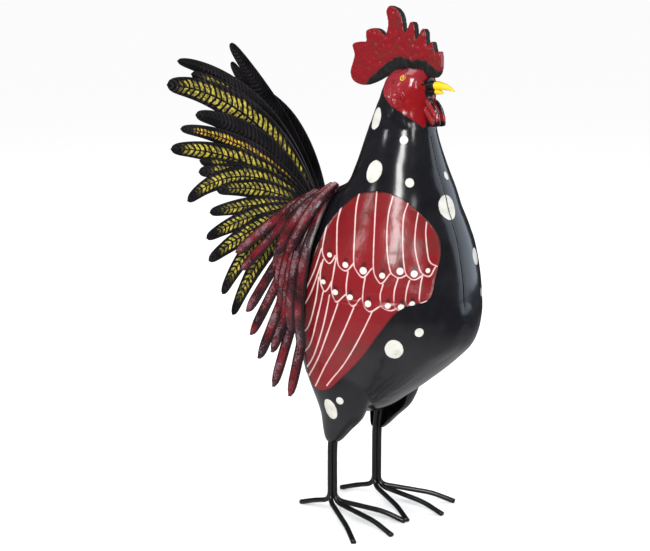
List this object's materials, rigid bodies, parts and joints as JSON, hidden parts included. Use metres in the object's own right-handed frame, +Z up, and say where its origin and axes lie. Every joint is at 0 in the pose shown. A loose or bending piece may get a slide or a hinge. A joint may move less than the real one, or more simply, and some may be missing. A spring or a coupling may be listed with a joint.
{
  "type": "metal rooster sculpture",
  "caption": "Standing rooster in painted sheet metal: glossy black body with pale dots, red wings and comb, fanned tail feathers and bent rod legs.",
  "frame": {"origin": "On the floor, under the middle of the figure as seen from above.", "axes": "+X is where the beak points, +Y is the rooster's own left, +Z is up."},
  "size_m": [0.4474, 0.2126, 0.5924],
  "materials": {
    "enamel_black": "glossy black enamel over welded sheet, with cream dots",
    "enamel_red": "glossy deep red enamel with white brushed feather lines on the wings",
    "comb_red": "glossy deep red enamel over hammered metal, darker at the edges",
    "beak_yellow": "satin bright yellow enamel",
    "saddle_maroon": "dark maroon lacquer, worn and mottled, over folded sheet",
    "feather_black": "satin black enamel over embossed sheet, with yellow brushed barbs",
    "leg_black": "satin black enamel over bent steel rod"
  },
  "bodies": {
    "root": {"leg_rod_right_middle": "leg_black", "leg_rod_right_outer": "leg_black", "leg_rod_right_inner": "leg_black", "leg_rod_right_back": "leg_black", "leg_rod_left_middle": "leg_black", "leg_rod_left_outer": "leg_black", "leg_rod_left_inner": "leg_black", "leg_rod_left_back": "leg_black", "body_shell": "enamel_black", "comb": "comb_red", "beak_upper": "beak_yellow", "beak_lower": "beak_yellow", "saddle_cape": "saddle_maroon", "wing_right": "enamel_red", "wattle_right": "enamel_red", "saddle_feathers_right_lower": "saddle_maroon", "saddle_feathers_right_middle": "saddle_maroon", "saddle_feathers_right_upper": "saddle_maroon", "tail_feather_right_01": "feather_black", "tail_feather_right_02": "feather_black", "tail_feather_right_03": "feather_black", "tail_feather_right_04": "feather_black", "tail_feather_right_05": "feather_black", "tail_feather_right_06": "feather_black", "tail_feather_right_07": "feather_black", "tail_feather_right_08": "feather_black", "tail_feather_right_09": "feather_black", "tail_feather_right_10": "feather_black", "tail_feather_right_11": "feather_black", "tail_feather_right_12": "feather_black", "tail_feather_right_13": "feather_black", "tail_feather_right_14": "feather_black", "tail_feather_right_15": "feather_black", "wing_left": "enamel_red", "wattle_left": "enamel_red", "saddle_feathers_left_lower": "saddle_maroon", "saddle_feathers_left_middle": "saddle_maroon", "saddle_feathers_left_upper": "saddle_maroon", "tail_feather_left_01": "feather_black", "tail_feather_left_02": "feather_black", "tail_feather_left_03": "feather_black", "tail_feather_left_04": "feather_black", "tail_feather_left_05": "feather_black", "tail_feather_left_06": "feather_black", "tail_feather_left_07": "feather_black", "tail_feather_left_08": "feather_black", "tail_feather_left_09": "feather_black", "tail_feather_left_10": "feather_black", "tail_feather_left_11": "feather_black", "tail_feather_left_12": "feather_black", "tail_feather_left_13": "feather_black", "tail_feather_left_14": "feather_black", "tail_feather_left_15": "feather_black"}
  },
  "joints": []
}
